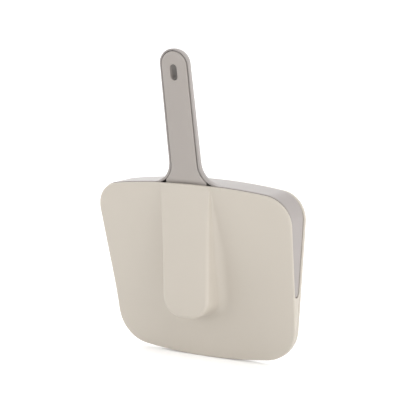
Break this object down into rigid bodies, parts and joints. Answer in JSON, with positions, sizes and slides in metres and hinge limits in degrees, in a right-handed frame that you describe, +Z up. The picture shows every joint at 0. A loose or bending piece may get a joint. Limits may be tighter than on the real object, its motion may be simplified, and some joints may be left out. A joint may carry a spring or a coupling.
{
  "type": "dustpan and brush set in a wall case",
  "caption": "Hand brush nested in a dustpan, stored upright in a flat wall case with a raised channel over the brush head.",
  "frame": {"origin": "on the case's wall side, midway between its two wall-screw holes", "axes": "+Z up along the wall, +Y into the wall, -Y out to the user, +X to the right seen from the front"},
  "size_m": [0.2316, 0.0766, 0.3348],
  "materials": {
    "case_plastic": "fine-grained warm beige moulded plastic",
    "pan_plastic": "smooth matte light taupe moulded plastic",
    "brush_plastic": "smooth matte taupe moulded plastic",
    "lip_rubber": "soft thermoplastic rubber",
    "bristle": "dark synthetic filaments",
    "screw_steel": "zinc-plated steel"
  },
  "bodies": {
    "holder": {"front_cover": "case_plastic", "back_panel": "case_plastic", "case_screws": "screw_steel"},
    "brush": {"brush_front_shell": "brush_plastic", "brush_back_shell": "brush_plastic", "shell_screws": "screw_steel", "brush_block": "brush_plastic", "block_screws": "screw_steel", "tuft_anchors": "screw_steel", "tuft_row_1": "bristle", "tuft_row_2": "bristle", "tuft_row_3": "bristle", "tuft_row_4": "bristle", "tuft_row_5": "bristle", "tuft_row_6": "bristle", "tuft_row_7": "bristle", "tuft_row_8": "bristle", "tuft_row_9": "bristle"},
    "dustpan": {"dustpan_body": "pan_plastic", "lip_strip": "lip_rubber"}
  },
  "joints": [
    {"name": "brush_lift", "type": "slide", "parent": "holder", "child": "brush", "axis": [0, 0, 1], "range_m": [0, 0.18]},
    {"name": "pan_lift", "type": "slide", "parent": "brush", "child": "dustpan", "axis": [0, 0, 1], "range_m": [0, 0.32]}
  ]
}
